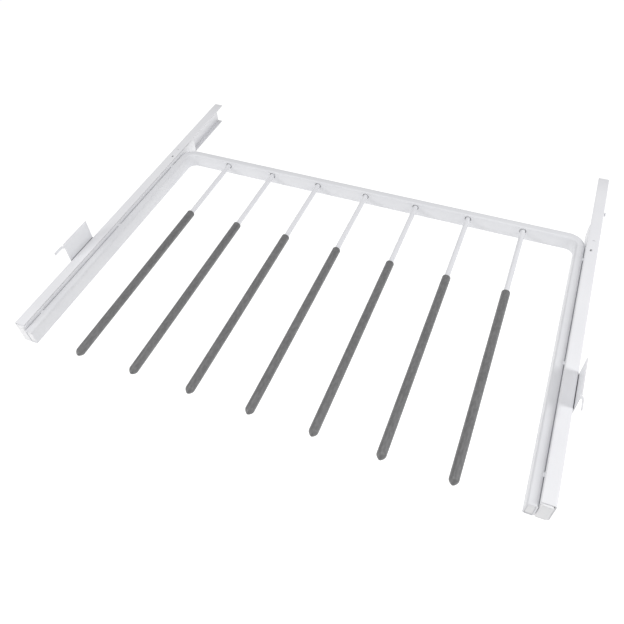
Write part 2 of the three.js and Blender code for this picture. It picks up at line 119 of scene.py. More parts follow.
floor_half, floor_level = 30, -0.42
floor_corners = [(x * floor_half, y * floor_half, floor_level)
                 for x, y in ((-1, -1), (1, -1), (1, 1), (-1, 1))]
floor_mesh = bpy.data.meshes.new("floor")
floor_mesh.from_pydata(floor_corners, [], [(0, 1, 2, 3)])
floor = bpy.data.objects.new("floor", floor_mesh)
bpy.context.collection.objects.link(floor)
pale = bpy.data.materials.new("pale_floor")
pale.use_nodes = True
pale_shader = pale.node_tree.nodes["Principled BSDF"]
pale_shader.inputs["Base Color"].default_value = (0.6, 0.6, 0.6, 1)
pale_shader.inputs["Roughness"].default_value = 0.9
pale_shader.inputs["Emission Color"].default_value = (1, 1, 1, 1)
pale_shader.inputs["Emission Strength"].default_value = 0.7
# the floor's own glow still lights the rack, but the sampler leaves it to chance, which is less noisy here
pale.cycles.emission_sampling = "NONE"
floor_mesh.materials.append(pale)


# FRAME TUBE
# One length of rectangular steel tube, bent into a U at its two rear corners, then powder-coated white.
# Seven oversize holes in the crossbar's front wall let the rods through to the rear wall.


class Wire:
    """One socket of a finish. Arithmetic on it adds Math nodes."""

    def __init__(self, finish, socket):
        self.finish, self.socket = finish, socket

    def maths(self, operation, *values):
        """One Math node on the values, each a number or a wire."""
        return self.finish.node("ShaderNodeMath", {"operation": operation}, dict(enumerate(values)))

    def __add__(self, other):
        return self.maths("ADD", self, other)

    def __radd__(self, other):
        return self.maths("ADD", other, self)

    def __sub__(self, other):
        return self.maths("SUBTRACT", self, other)

    def __rsub__(self, other):
        return self.maths("SUBTRACT", other, self)

    def __mul__(self, other):
        return self.maths("MULTIPLY", self, other)

    def __rmul__(self, other):
        return self.maths("MULTIPLY", other, self)

    def __abs__(self):
        return self.maths("ABSOLUTE", self)

    def ramp(self, low, high):
        """0 below low, 1 above high, with a smooth rise between."""
        return self.finish.node("ShaderNodeMapRange", {"interpolation_type": "SMOOTHSTEP"},
                                {0: self, 1: low, 2: high, 3: 0.0, 4: 1.0})

    def band(self, low, full, fade, high):
        """0 below low and above high, 1 from full to fade, with smooth edges."""
        return self.ramp(low, full) - self.ramp(fade, high)


class Finish:
    """A material round one Principled shader, with its pattern in Object coordinates."""

    def __init__(self, name, **constants):
        self.material = bpy.data.materials.new(name)
        self.material.use_nodes = True
        self.tree = self.material.node_tree
        self.shader = self.tree.nodes["Principled BSDF"]
        for socket, value in constants.items():
            self.shader.inputs[socket.replace("_", " ")].default_value = value
        self.place = self.node("ShaderNodeTexCoord", {}, {}, "Object")

    def node(self, kind, settings, values, out=0):
        """A node of that kind, its settings set first and then its sockets, as the wire that leaves it."""
        made = self.tree.nodes.new(kind)
        for setting, value in settings.items():
            setattr(made, setting, value)
        for socket, value in values.items():
            if isinstance(value, Wire):
                self.tree.links.new(value.socket, made.inputs[socket])
            else:
                made.inputs[socket].default_value = value
        return Wire(self, made.outputs[out])

    def grain(self, lumps, detail=2.0, stretch=(1, 1, 1)):
        """Noise of so many lumps to the metre, drawn out along an axis by a stretch below 1."""
        spread = self.node("ShaderNodeVectorMath", {"operation": "MULTIPLY"}, {0: self.place, 1: stretch})
        values = {"Vector": spread, "Scale": lumps, "Detail": detail}
        return self.node("ShaderNodeTexNoise", {}, values, "Fac")

    def blend(self, mask, first, second):
        """The first colour where mask is 0, the second where it is 1, and their mix between."""
        return self.node("ShaderNodeMix", {"data_type": "RGBA"}, {0: mask, 6: first, 7: second}, 2)

    def set(self, socket, wire):
        """The wire feeds that socket of the shader."""
        self.tree.links.new(wire.socket, self.shader.inputs[socket])

    def relief(self, height, depth):
        """Height as a bump whose full swing is so many metres deep."""
        bump = self.node("ShaderNodeBump", {}, {"Height": height, "Distance": depth, "Strength": 1.0})
        self.set("Normal", bump)


def powder_coat(name, tone, painted_crevice_shade=False):
    """White powder coat: fine orange peel, a faint long swell of tone, and thinner, duller specks. Where a
    bracket laps on a channel, the crevice between them is painted dark grey as painted shade."""
    coat = Finish(name, Specular_IOR_Level=0.42)
    peel = coat.grain(lumps=950, detail=1.5)
    swell = coat.grain(lumps=26, detail=3.0)
    specks = coat.grain(lumps=2300, detail=1.0).ramp(0.66, 0.74)
    thinner = np.multiply(tone, (0.955, 0.955, 0.965))
    tint = coat.blend(swell.ramp(0.35, 0.7) * 0.55 + specks * 0.22, (*tone, 1), (*thinner, 1))
    if painted_crevice_shade:
        x, y, z = (coat.node("ShaderNodeSeparateXYZ", {}, {0: coat.place}, axis) for axis in (0, 1, 2))
        # the edges of the painted crevice shade, where bracket and channel lap, in metres: out from the
        # middle, back, and up
        shade_out = abs(x).band(0.2772, 0.2774, 0.2786, 0.2788)
        shade_back = y.band(0.0085, 0.0089, 0.0498, 0.0502)
        shade_up = z.band(-0.0431, -0.0427, -0.0203, -0.0197)
        # inside those edges the coat is painted dark grey: painted shade in the crevice between the two
        # sheets
        tint = coat.blend(shade_out * shade_back * shade_up, tint, (0.2, 0.2, 0.215, 1))
    coat.set("Base Color", tint)
    coat.set("Roughness", 0.36 + swell * 0.1 + specks * 0.12)
    coat.relief(peel * 0.8 + specks * 0.2, depth=0.00002)
    return coat.material


sliver = 1e-6


def track(lengths, start, heading, moves):
    """Points and headings at lengths along a line of straights and bends, each a move of (length, turn in
    degrees). A part turned by a goes length * sin(a/2)/(a/2) in the direction of its heading plus a/2."""
    long = np.array([move[0] for move in moves], float)
    turn = np.radians([move[1] for move in moves])
    heads = radians(heading) + np.concatenate([[0], np.cumsum(turn)[:-1]])

    def stride(length, angle, head):
        """The way from one end of a part to the other: its chord, at its heading plus half its turn."""
        reach = length * np.sinc(angle / 2 / pi)
        return np.stack([reach * np.cos(head + angle / 2), reach * np.sin(head + angle / 2)], -1)

    hops = stride(long, turn, heads)
    starts = np.array(start, float) + np.concatenate([[[0, 0]], np.cumsum(hops, 0)[:-1]])
    ends = np.cumsum(long)
    lengths = np.asarray(lengths, float)
    k = np.clip(np.searchsorted(ends, lengths - sliver), 0, len(moves) - 1)
    part = lengths - (ends - long)[k]
    angle = turn[k] * part / long[k]
    return starts[k] + stride(part, angle, heads[k]), heads[k] + angle


opening_cells, opening_rings = 8, 3


def span(middle, reach):
    """Both ends of a stretch: middle - reach and middle + reach."""
    return middle - reach, middle + reach


def tidied(lines):
    """Grid lines in order, each once, to a millionth of a millimetre."""
    return np.unique(np.round(lines, 6))


def stations(moves, pace, bend_steps, spans=()):
    """Grid lines along a track: every pace on straights, bend_steps on each bend, and an opening's cells
    across each span."""
    lines = [0.0]
    for length, turn in moves:
        steps = bend_steps if turn else max(1, round(length / pace))
        lines.extend(lines[-1] + length * np.arange(1, steps + 1) / steps)
    lines = np.array(lines)
    for low, high in spans:
        lines = lines[(lines < low - sliver) | (lines > high + sliver)]
    return tidied(np.concatenate([lines] + [np.linspace(*ends, opening_cells + 1) for ends in spans]))


def skin(s, t, shape, openings=(), closed=False, keep=None):
    """Faces over the grid of lengths s and t, with shape(s, t) for the point at each.
    An opening (s0, t0, half_s, half_t, reach, shift) takes out a square of cells, reach to each side, and
    rings of faces run from its rim to the opening's edge, an ellipse of those half sizes that lies shift
    further along t than the square's middle."""
    rows, columns, cells = len(s), len(t), opening_cells
    number = np.arange(rows * columns).reshape(rows, columns)
    if closed:
        number = np.concatenate([number, number[:, :1]], 1)
        t_edges = np.append(t, 2 * t[-1] - t[-2])
    else:
        t_edges = t
    whole = np.ones((rows - 1, number.shape[1] - 1), bool)
    if keep is not None:
        s_mid, t_mid = np.meshgrid((s[1:] + s[:-1]) / 2, (t_edges[1:] + t_edges[:-1]) / 2, indexing="ij")
        whole &= keep(s_mid, t_mid)
    flat = np.stack(np.meshgrid(s, t, indexing="ij"), -1).reshape(-1, 2)
    faces = []
    for s0, t0, half_s, half_t, reach, shift in openings:
        i = int(np.argmin(abs(s - (s0 - reach))))
        j = int(np.argmin(abs(t - (t0 - reach))))
        whole[i:i + cells, j:j + cells] = False
        block = number[i:i + cells + 1, j:j + cells + 1]
        rim = np.concatenate([block[:-1, 0], block[-1, :-1], block[:0:-1, -1], block[0, :0:-1]])
        way = flat[rim] - (s0, t0)
        angle = np.arctan2(way[:, 1], way[:, 0])
        edge = np.stack([half_s * np.cos(angle), shift + half_t * np.sin(angle)], -1)
        share = (np.arange(1, opening_rings + 1) / opening_rings)[:, None, None]
        inner = (s0, t0) + way * (1 - share) + edge * share
        ring = len(flat) + np.arange(opening_rings * len(rim)).reshape(opening_rings, -1)
        flat = np.concatenate([flat, inner.reshape(-1, 2)])
        loops = np.concatenate([rim[None], ring])
        ahead = np.roll(loops, -1, 1)
        faces.append(np.stack([loops[:-1], ahead[:-1], ahead[1:], loops[1:]], -1).reshape(-1, 4))
    quads = np.stack([number[:-1, :-1], number[1:, :-1], number[1:, 1:], number[:-1, 1:]], -1)[whole]
    faces = np.concatenate([quads] + faces)
    used, faces = np.unique(faces, return_inverse=True)
    return shape(flat[used, 0], flat[used, 1]), faces.reshape(-1, 4)


def fitted(name, points, faces, body, nodes, finish,
           wall=0.0, edge=0.0, flip=False, crease=32, rim=None):
    """A piece from points in millimetres and rows of corner numbers, with an inward wall and eased edges.
    The wall's cut edges take the finish rim, if there is one."""
    mesh = bpy.data.meshes.new(name)
    rows = [list(row) for part in (faces if isinstance(faces, list) else [faces]) for row in part.tolist()]
    mesh.from_pydata(metres(points).tolist(), [], [row[::-1] for row in rows] if flip else rows)
    made = bpy.data.objects.new(name, mesh)
    bpy.context.collection.objects.link(made)
    mesh.materials.append(finish)
    if rim:
        mesh.materials.append(rim)
    if wall:
        sheet = made.modifiers.new("wall", "SOLIDIFY")
        sheet.thickness, sheet.offset, sheet.use_even_offset = wall * mm, -1, True
        sheet.material_offset_rim = 1 if rim else 0
    if edge:
        ease = made.modifiers.new("edge", "BEVEL")
        ease.width, ease.segments, ease.limit_method, ease.angle_limit = edge * mm, 2, "ANGLE", radians(40)
    if wall or edge:
        done = bpy.data.meshes.new_from_object(made.evaluated_get(bpy.context.evaluated_depsgraph_get()))
        made.modifiers.clear()
        made.data = done
        bpy.data.meshes.remove(mesh)
        done.name = name
    made.data.shade_smooth()
    made.data.set_sharp_from_angle(angle=radians(crease))
    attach(made, body)
    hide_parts(*nodes)
    return made


white_coat = powder_coat("white_powder_coat", (0.715, 0.72, 0.742))

tube_wall, tube_edge = 1.5, 2.4
arm_reach = datum[1] - tube_low[1]
arm_outer = tube_high[0]
bend_outer = 19.5
bend_middle = bend_outer - tube_width / 2
bend_length = pi / 2 * bend_middle
arm_straight = arm_reach + tube_width - bend_outer
bar_straight = 2 * (arm_outer - bend_outer)
tube_moves = [(arm_straight, 0), (bend_length, -90), (bar_straight, 0), (bend_length, -90), (arm_straight, 0)]

rod_count, rod_pitch, rod_drop, rod_radius = 7, 65.0, 5.9, 3.0
rod_places = (np.arange(rod_count) - (rod_count - 1) / 2) * rod_pitch
hole_play, hole_reach = 0.8, 4.6
hole_radius = rod_radius + hole_play

corner_length = pi / 2 * tube_edge
side_straight, cap_straight = tube_height - 2 * tube_edge, tube_width - 2 * tube_edge
section_moves = [(side_straight, 0), (corner_length, -90), (cap_straight, 0), (corner_length, -90)] * 2


def tube_shape(s, t):
    """The tube's section, outward and up, carried along the U in plan: plan point + outward * normal + up."""
    plan, head = track(s, (-(arm_outer - tube_width / 2), -arm_reach), 90, tube_moves)
    out, _ = track(t, (-tube_width / 2, tube_edge - tube_height), 90, section_moves)
    x, y = plan[:, 0] - np.sin(head) * out[:, 0], plan[:, 1] + np.cos(head) * out[:, 0]
    return np.stack([x, y, out[:, 1]], -1)


hole_s = arm_straight + bend_length + bar_straight / 2 + rod_places
hole_t = tube_height - tube_edge - rod_drop
tube_s = stations(tube_moves, pace=40, bend_steps=24, spans=[span(s, hole_reach) for s in hole_s])
tube_t = stations(section_moves, pace=6, bend_steps=6, spans=[span(hole_t, hole_reach)])[:-1]
rod_holes = [(s, hole_t, hole_radius, hole_radius, hole_reach, 0) for s in hole_s]
points, faces = skin(tube_s, tube_t, tube_shape, rod_holes, closed=True)
fitted("bent_tube_frame", points, faces, "rack", ["frame_bar"], white_coat, wall=tube_wall,
       edge=0.25)


# RODS
# Seven straight steel rods, powder-coated with the frame and welded to the crossbar's rear wall.
# Each goes through its oversize hole and reaches nearly to the tip of its sleeve.


def eased(outline, radius, steps=4, closed=False):
    """Every corner of an outline gives way to a parabola from radius before it to radius after it, or from
    just short of the middle of its shorter side: (1-w)^2 * enter + 2w(1-w) * corner + w^2 * leave."""
    corners = np.array(outline, float)
    before, after = np.roll(corners, 1, 0) - corners, np.roll(corners, -1, 0) - corners
    side_before, side_after = np.hypot(*before.T)[:, None], np.hypot(*after.T)[:, None]
    reach = np.minimum(np.minimum(side_before, side_after) * 0.48, radius)
    enter = corners + before / np.maximum(side_before, sliver) * reach
    leave = corners + after / np.maximum(side_after, sliver) * reach
    if not closed:
        enter[[0, -1]], leave[[0, -1]] = corners[[0, -1]], corners[[0, -1]]
    w = np.linspace(0, 1, steps + 1)[None, :, None]
    curve = (1 - w) ** 2 * enter[:, None] + 2 * w * (1 - w) * corners[:, None] + w ** 2 * leave[:, None]
    if closed:
        return curve.reshape(-1, 2)
    return np.concatenate([corners[:1], curve[1:-1].reshape(-1, 2), corners[-1:]])


def bands(number):
    """Faces between rows of corner numbers, each row a ring: two neighbours in a row and the same two in
    the next."""
    ahead = np.roll(number, -1, 1)
    return np.stack([number[:-1], ahead[:-1], ahead[1:], number[1:]], -1).reshape(-1, 4)


def poles(number):
    """Triangles that close the first and the last ring on a point each. These two points come after the
    rings' own."""
    ahead = np.roll(number, -1, 1)
    first, last = np.full(number.shape[1], number.size), np.full(number.shape[1], number.size + 1)
    opening_fan = np.stack([first, ahead[0], number[0]], -1)
    closing_fan = np.stack([last, number[-1], ahead[-1]], -1)
    return np.concatenate([opening_fan, closing_fan])


def turned(profile, sides, along, centre):
    """A profile of (distance, radius) turned about an axis: centre + along * distance + radius * (cos, sin).
    It starts and ends on the axis, or runs round and closes on itself."""
    profile = np.array(profile, float)
    ring_like = profile[0, 1] > 0
    middle = profile if ring_like else profile[1:-1]
    along = np.array(along, float)
    first = np.cross(along, [0, 0, 1])
    second = np.cross(along, first)
    angle = 2 * pi * np.arange(sides) / sides
    spoke = np.cos(angle)[:, None] * first + np.sin(angle)[:, None] * second
    points = np.array(centre, float) + along * middle[:, None, :1] + spoke * middle[:, None, 1:]
    points = points.reshape(-1, 3)
    number = np.arange(len(points)).reshape(len(middle), sides)
    if ring_like:
        return points, bands(np.concatenate([number, number[:1]]))
    tips = np.array(centre, float) + along * profile[[0, -1], :1]
    return np.concatenate([points, tips]), [bands(number), poles(number)]


# the sleeves' rear ends, as measured in the photograph, are 3.9 mm further forward than on the solids
sleeve_start, sleeve_length, sleeve_radius = 102.9, 235.5, 4.7
sleeve_end, sleeve_play, tip_thick = sleeve_start + sleeve_length, 0.15, 3.6
forwards = (0, -1, 0)

rod_coat = powder_coat("white_rod_coat", (0.757, 0.76, 0.785))
rod_back, rod_end = tube_wall - tube_width, sleeve_end - tip_thick - sleeve_play
rod_profile = eased([(rod_back, 0), (rod_back, rod_radius), (rod_end, rod_radius), (rod_end, 0)], radius=0.4)
for place, x in enumerate(rod_places, 1):
    points, faces = turned(rod_profile, sides=40, along=forwards, centre=(x, 0, -rod_drop))
    fitted(f"white_rod_{place}", points, faces, "rack", [f"rod_{place}"], rod_coat)


# SLEEVES
# A soft dark grey non-slip sleeve is pushed on each rod. It has a rounded shoulder and a faint bead at
# the rear, and a blunt bullet tip that comes to a small point.

soft_grey = Finish("soft_grey_sleeve", Specular_IOR_Level=0.85, Sheen_Weight=0.08, Sheen_Roughness=0.6)
mottle = soft_grey.grain(lumps=75, detail=4.0, stretch=(1, 0.35, 1))
pores = soft_grey.grain(lumps=1500)
rub = soft_grey.grain(lumps=430, detail=3.0, stretch=(1, 0.4, 1)).ramp(0.4, 0.62)
soft_grey.set("Base Color", soft_grey.blend(mottle.ramp(0.3, 0.7) * 0.3 + pores * 0.2 + rub * 0.5,
                                            (0.096, 0.096, 0.098, 1), (0.163, 0.162, 0.165, 1)))
soft_grey.set("Roughness", 0.44 + pores * 0.14 - rub * 0.08)
soft_grey.relief(pores * 0.7 + mottle * 0.3, depth=0.00007)

bore_radius, bore_end = rod_radius + sleeve_play, sleeve_end - tip_thick
tip_length, tip_blunt = 5.9, 0.75
bead_radius, shaft_radius = sleeve_radius - 0.14, sleeve_radius - 0.02
rear = eased([(sleeve_start, bore_radius), (sleeve_start, sleeve_radius - 0.2),
              (sleeve_start + 0.9, sleeve_radius), (sleeve_start + 3.4, sleeve_radius),
              (sleeve_start + 4.1, bead_radius), (sleeve_start + 4.9, shaft_radius),
              (sleeve_end - 7.0, shaft_radius), (sleeve_end - tip_length, sleeve_radius)],
             radius=0.9)
# the tip's radius falls from the sleeve's to the blunt end's with the way along it to the power 1.9
way_along = np.linspace(0, 1, 14, endpoint=False)[1:]
bullet = np.stack([sleeve_end - tip_length + tip_length * way_along,
                   sleeve_radius - (sleeve_radius - tip_blunt) * way_along ** 1.9], -1)
point = [(sleeve_end - 0.22, 0.6), (sleeve_end - 0.05, 0.3), (sleeve_end, 0)]
sleeve_profile = np.concatenate([[(bore_end, 0), (bore_end, bore_radius)], rear, bullet, point])
for place, x in enumerate(rod_places, 1):
    points, faces = turned(sleeve_profile, sides=48, along=forwards, centre=(x, 0, -rod_drop))
    fitted(f"grip_sleeve_{place}", points, faces, "rack", [f"sleeve_{place}"], soft_grey.material,
           crease=50)


# ARM PLUGS
# A white plastic plug is pressed into each open front end of the tube, a little behind the rim.
# Its face is a rounded rectangle with an eased edge.

satin_white = Finish("satin_white_plastic", Specular_IOR_Level=0.45)
skin_grain = satin_white.grain(lumps=1700)
flow = satin_white.grain(lumps=60, detail=3.0)
satin_white.set("Base Color", satin_white.blend(flow.ramp(0.3, 0.7) * 0.6 + skin_grain * 0.2,
                                                (0.8, 0.8, 0.81, 1), (0.755, 0.755, 0.77, 1)))
satin_white.set("Roughness", 0.42 + skin_grain * 0.14)
satin_white.relief(skin_grain, depth=0.00003)


def moulded(x0, x1, z0, z1, radius, layers, steps=6):
    """A rounded rectangle in x and z carried along y: each layer is (y, inset from the full outline)."""
    layers = np.array(layers, float)
    corner = np.radians(np.linspace(-90, 0, steps + 1))
    turn = (corner[None] + np.radians([[0], [90], [180], [270]])).reshape(-1)
    right = np.repeat([1, 1, 0, 0], steps + 1)
    top = np.repeat([0, 1, 1, 0], steps + 1)
    inset = layers[:, 1:]
    bend = np.maximum(radius - inset, 0.02)
    x = np.where(right, x1 - inset - bend, x0 + inset + bend) + bend * np.cos(turn)
    z = np.where(top, z1 - inset - bend, z0 + inset + bend) + bend * np.sin(turn)
    points = np.stack([x, np.broadcast_to(layers[:, :1], x.shape), z], -1)
    number = np.arange(x.size).reshape(x.shape)
    middle = [((x0 + x1) / 2, layers[k, 0], (z0 + z1) / 2) for k in (0, -1)]
    # the layers run back, so the faces are turned round to look outwards
    turned_round = [bands(number)[:, [0, 3, 2, 1]], poles(number)[:, [0, 2, 1]]]
    return np.concatenate([points.reshape(-1, 3), middle]), turned_round


def sided(points, side):
    """The same piece on the left (-1) or right (1) of the rack."""
    return np.asarray(points, float) * (side, 1, 1)


both_sides = (("left", -1), ("right", 1))
plug_play, plug_recess, plug_length = 0.1, 0.4, 10.0
plug_inset, plug_face = tube_wall + plug_play, plug_recess - arm_reach
plug_points, plug_faces = moulded(
    arm_outer - tube_width + plug_inset, arm_outer - plug_inset, plug_inset - tube_height, -plug_inset,
    radius=0.5,
    layers=[(plug_face, 0.5), (plug_face + 0.08, 0.22), (plug_face + 0.3, 0), (plug_face + plug_length, 0)])
for side_name, side in both_sides:
    fitted(f"{side_name}_tube_plug", sided(plug_points, side), plug_faces, "rack", [f"{side_name}_arm_plug"],
           satin_white.material, flip=side < 0)


# FIXED CHANNELS
# Each side has a white folded steel channel, open towards the rack, with a wide top flange and a narrow
# lower lip. A small oval detent hole and a short slot are pierced in its top flange near the rear corner.

# the channels' coat carries the painted shade in the crevice behind each bracket
slide_coat_with_painted_shade = powder_coat("white_slide_coat", (0.785, 0.788, 0.81), painted_crevice_shade=True)
# the sheets' cut edges take a slightly darker grey than their faces
cut_edge_tone = powder_coat("darker_tone_on_cut_edges", (0.75, 0.75, 0.765))

sheet_thick = 1.2
channel_depth, channel_gap = 12.7, 0.7
channel_outer = arm_outer + channel_gap + channel_depth
channel_web = channel_outer - sheet_thick
channel_recess, channel_length = 3.0, 448.5
channel_front = channel_recess - arm_reach
channel_top, channel_height, channel_bend, channel_lip = 4.6, 28.0, 1.7, 7.7
channel_low = channel_top - channel_height
channel_quarter = pi / 2 * channel_bend
channel_moves = [(channel_lip - channel_bend, 0), (channel_quarter, 90),
                 (channel_height - 2 * channel_bend, 0), (channel_quarter, 90),
                 (channel_depth - channel_bend, 0)]
flange_middle = sum(move[0] for move in channel_moves[:4]) + channel_depth / 2 - channel_bend
opening_reach = 3.2
detent_y, detent_inset, detent_half = -18.2, 7.7, (1.9, 1.25)
slot_y, slot_half = -1.4, (0.42, 1.7)
detent_shift = detent_inset - channel_depth / 2
detent = (detent_y - channel_front, flange_middle, *detent_half, opening_reach, detent_shift)
stop_slot = (slot_y - channel_front, flange_middle, *slot_half, opening_reach, 0)


def channel_shape(s, t):
    """The channel's outer face: its section in x and z carried straight back along y."""
    section, _ = track(t, (channel_outer - channel_lip, channel_low), 0, channel_moves)
    return np.stack([section[:, 0], channel_front + s, section[:, 1]], -1)


channel_s = stations([(channel_length, 0)], pace=30, bend_steps=1,
                     spans=[span(opening[0], opening_reach) for opening in (detent, stop_slot)])
channel_t = stations(channel_moves, pace=9, bend_steps=7, spans=[span(flange_middle, opening_reach)])
points, faces = skin(channel_s, channel_t, channel_shape, [detent, stop_slot])
for side_name, side in both_sides:
    fitted(f"{side_name}_side_channel", sided(points, side), faces, "rails", [f"{side_name}_channel"],
           slide_coat_with_painted_shade, wall=sheet_thick, edge=0.22, flip=side < 0, rim=cut_edge_tone)


# RUNNERS
# A white folded steel runner is tack-welded to each arm and slides inside the channel. Its top flange and
# lip are cut away at the rear, where the web runs on as a rounded tail that carries a roller.

# the runners share the frame's white finish; their coat is lighter than the frame's to stand in for light on
# the runners' webs, which is painted light
runner_coat_with_painted_light = powder_coat("white_runner_coat", (0.87, 0.873, 0.893))
arm_gap, runner_reach = 0.35, 11.1
runner_inner, runner_outer = arm_outer + arm_gap, arm_outer + runner_reach
runner_top, runner_web, runner_bend, runner_lip = 3.1, 20.0, 1.3, 4.0
cap_recess, cap_thick = 1.05, 1.5
cap_face = cap_recess - arm_reach
runner_front, runner_tail, tail_round = cap_face + cap_thick, 29.5, 5.0
rear_roller_y, rear_roller_radius, flange_clearance = 13.0, 12.6, 1
flange_end = rear_roller_y - rear_roller_radius - flange_clearance
tail_reach = runner_tail - flange_end
web_straight, runner_quarter = runner_web - runner_bend, pi / 2 * runner_bend
runner_moves = [(web_straight, 0), (runner_quarter, -90), (runner_outer - runner_inner - 2 * runner_bend, 0),
                (runner_quarter, -90), (sheet_thick + runner_lip - runner_bend, 0)]
# the tail keeps the web and three quarters of the bend above it
web_end = web_straight + runner_quarter * 0.75


def runner_shape(s, t):
    """The runner's outer face: its section in x and z carried forward from the tail, whose end is rounded."""
    section, _ = track(t, (runner_inner, runner_top - runner_web), 90, runner_moves)
    from_end = np.minimum(section[:, 1] - (runner_top - runner_web), runner_top - section[:, 1])
    cut = tail_round - np.sqrt(tail_round ** 2 - np.clip(tail_round - from_end, 0, tail_round) ** 2)
    y = runner_tail - s - cut * np.clip(1 - s / tail_reach, 0, 1)
    return np.stack([section[:, 0], y, section[:, 1]], -1)


# an oval hole lies under the channel's detent hole when the rack is closed, which leaves that hole dark
under_s = runner_tail - detent_y
under_t = web_straight + runner_quarter + channel_outer - detent_inset - runner_inner - runner_bend
under_half = (2.2, 1.6)
under_detent = (under_s, under_t, *under_half, opening_reach, 0)
runner_s = stations([(tail_reach, 0), (flange_end - runner_front, 0)], pace=24, bend_steps=1,
                    spans=[span(under_s, opening_reach)])
runner_lines = stations(runner_moves, pace=4, bend_steps=6, spans=[span(under_t, opening_reach)])
# closer lines near the web's lower edge and below its bend follow the tail's rounded corners
tail_lines = [0.3, 0.7, 1.2, 1.8, 2.5, web_straight - 0.9]
runner_t = tidied(np.concatenate([runner_lines, tail_lines]))
points, faces = skin(runner_s, runner_t, runner_shape, [under_detent],
                     keep=lambda s, t: (s > tail_reach) | (t < web_end))
for side_name, side in both_sides:
    fitted(f"{side_name}_moving_runner", sided(points, side), faces, "rack", [f"{side_name}_runner"],
           runner_coat_with_painted_light, wall=sheet_thick, edge=0.2, flip=side < 0)


# FRONT CAPS
# A white moulded cap closes the front of each channel, bevelled along its outer edge. It rides on the
# runner: a block behind its face is pushed into the runner's end.

cap_lift, cap_drop, cap_play, mouth_play = 1.6, 1.5, 0.4, 0.1
bevel_width, bevel_depth = 1.9, 1.0
cap_inner, cap_outer = arm_outer + channel_gap + mouth_play, channel_web - cap_play
cap_points, cap_faces = moulded(
    cap_inner, cap_outer, channel_low + cap_lift, channel_top - cap_drop, radius=2.0,
    layers=[(cap_face, 4.0), (cap_face, 1.9), (cap_face, 0.75), (cap_face + 0.08, 0.4),
            (cap_face + 0.3, 0.12), (cap_face + 0.6, 0), (runner_front, 0)])
bevel_share = np.clip((cap_points[:, 0] - (cap_outer - bevel_width)) / bevel_width, 0, 1)
cap_points[:, 1] = np.maximum(cap_points[:, 1], cap_face + bevel_share * bevel_depth)
block_play = 0.2
block_inset = sheet_thick + block_play
block_points, block_faces = moulded(
    runner_inner + block_inset, runner_outer - block_inset, runner_top - runner_web, runner_top - block_inset,
    radius=0.5, layers=[(runner_front - 0.6, 0.3), (runner_front + 4.2, 0), (runner_front + 4.5, 0.3)])
cap_faces = cap_faces + [face + len(cap_points) for face in block_faces]
cap_points = np.concatenate([cap_points, block_points])
for side_name, side in both_sides:
    fitted(f"{side_name}_end_cap", sided(cap_points, side), cap_faces, "rack", [f"{side_name}_front_cap"],
           satin_white.material, flip=side < 0, crease=24)


# WELD BEADS
# Three short tack welds on each side hold the runner to the arm, in the groove beside the tube's rounded top
# edge. Each is a rippled bead, run by hand, so no two lie alike, and is coated with the frame.

weld_places = {"left": (32, 157, 305.7), "right": (30, 180, 303.5)}
weld_inset, weld_drop = 0.4, 1.0
weld_half_width, weld_half_length, weld_half_height = 1.75, 2.6, 1.2
weld_sides, weld_rings = 28, 28


def weld_shape(u, v, lean):
    """A flat ellipsoid, long in y, with u round and v from pole to pole. Ripples along it swell its x and z
    by 1 + 0.05 * cos(9 * cos(v) + lean) * sin(v)^2."""
    along = np.cos(v)
    swell = 1 + 0.05 * np.cos(9 * along + lean) * np.sin(v) ** 2
    return np.stack([weld_half_width * np.sin(v) * np.cos(u) * swell, weld_half_length * along,
                     weld_half_height * np.sin(v) * np.sin(u) * swell], -1)


weld_u, weld_v = np.meshgrid(2 * pi * np.arange(weld_sides) / weld_sides,
                             np.linspace(0, pi, weld_rings + 2)[1:-1])
weld_number = np.arange(weld_rings * weld_sides).reshape(weld_rings, weld_sides)
weld_tips = [[0, weld_half_length, 0], [0, -weld_half_length, 0]]
for side_name, side in both_sides:
    for place, setback in enumerate(weld_places[side_name], 1):
        bead = np.concatenate([weld_shape(weld_u, weld_v, setback).reshape(-1, 3), weld_tips])
        bead += (arm_outer - weld_inset, -setback, -weld_drop)
        fitted(f"{side_name}_weld_bead_{place}", sided(bead, side), [bands(weld_number), poles(weld_number)],
               "rack", [f"{side_name}_weld_{place}"], white_coat, flip=side < 0, crease=60)


# ROLLERS
# Four smooth nylon wheels with eased rims and a shallow dished web. The front pair turns on axles in the
# channels, under the runners' flanges. The rear pair turns on axles in the runners' tails.

off_white_nylon = Finish("off_white_nylon", Specular_IOR_Level=0.5)
turning = off_white_nylon.grain(lumps=500, stretch=(0.3, 1, 1))
worn = off_white_nylon.grain(lumps=140, detail=3.0).ramp(0.5, 0.75)
off_white_nylon.set("Base Color", off_white_nylon.blend(worn * 0.5 + turning * 0.2, (0.82, 0.81, 0.775, 1),
                                                        (0.72, 0.71, 0.675, 1)))
off_white_nylon.set("Roughness", 0.3 + worn * 0.16 + turning * 0.06)
off_white_nylon.relief(turning, depth=0.00002)

side_play, rolling_gap = 0.3, 0.1
boss_reach, roller_width = 3.5, 5.6
roller_inner = arm_outer + boss_reach + side_play
roller_outer = roller_inner + roller_width
journal, bore = 2.5, 2.58
front_roller_radius, front_roller_setback = 9.5, 18.5
front_roller_z = runner_top - sheet_thick - rolling_gap - front_roller_radius
rear_roller_z = channel_low + sheet_thick + rolling_gap + rear_roller_radius
roller_places = {"front": (front_roller_setback - arm_reach, front_roller_z, front_roller_radius),
                 "rear": (rear_roller_y, rear_roller_z, rear_roller_radius)}


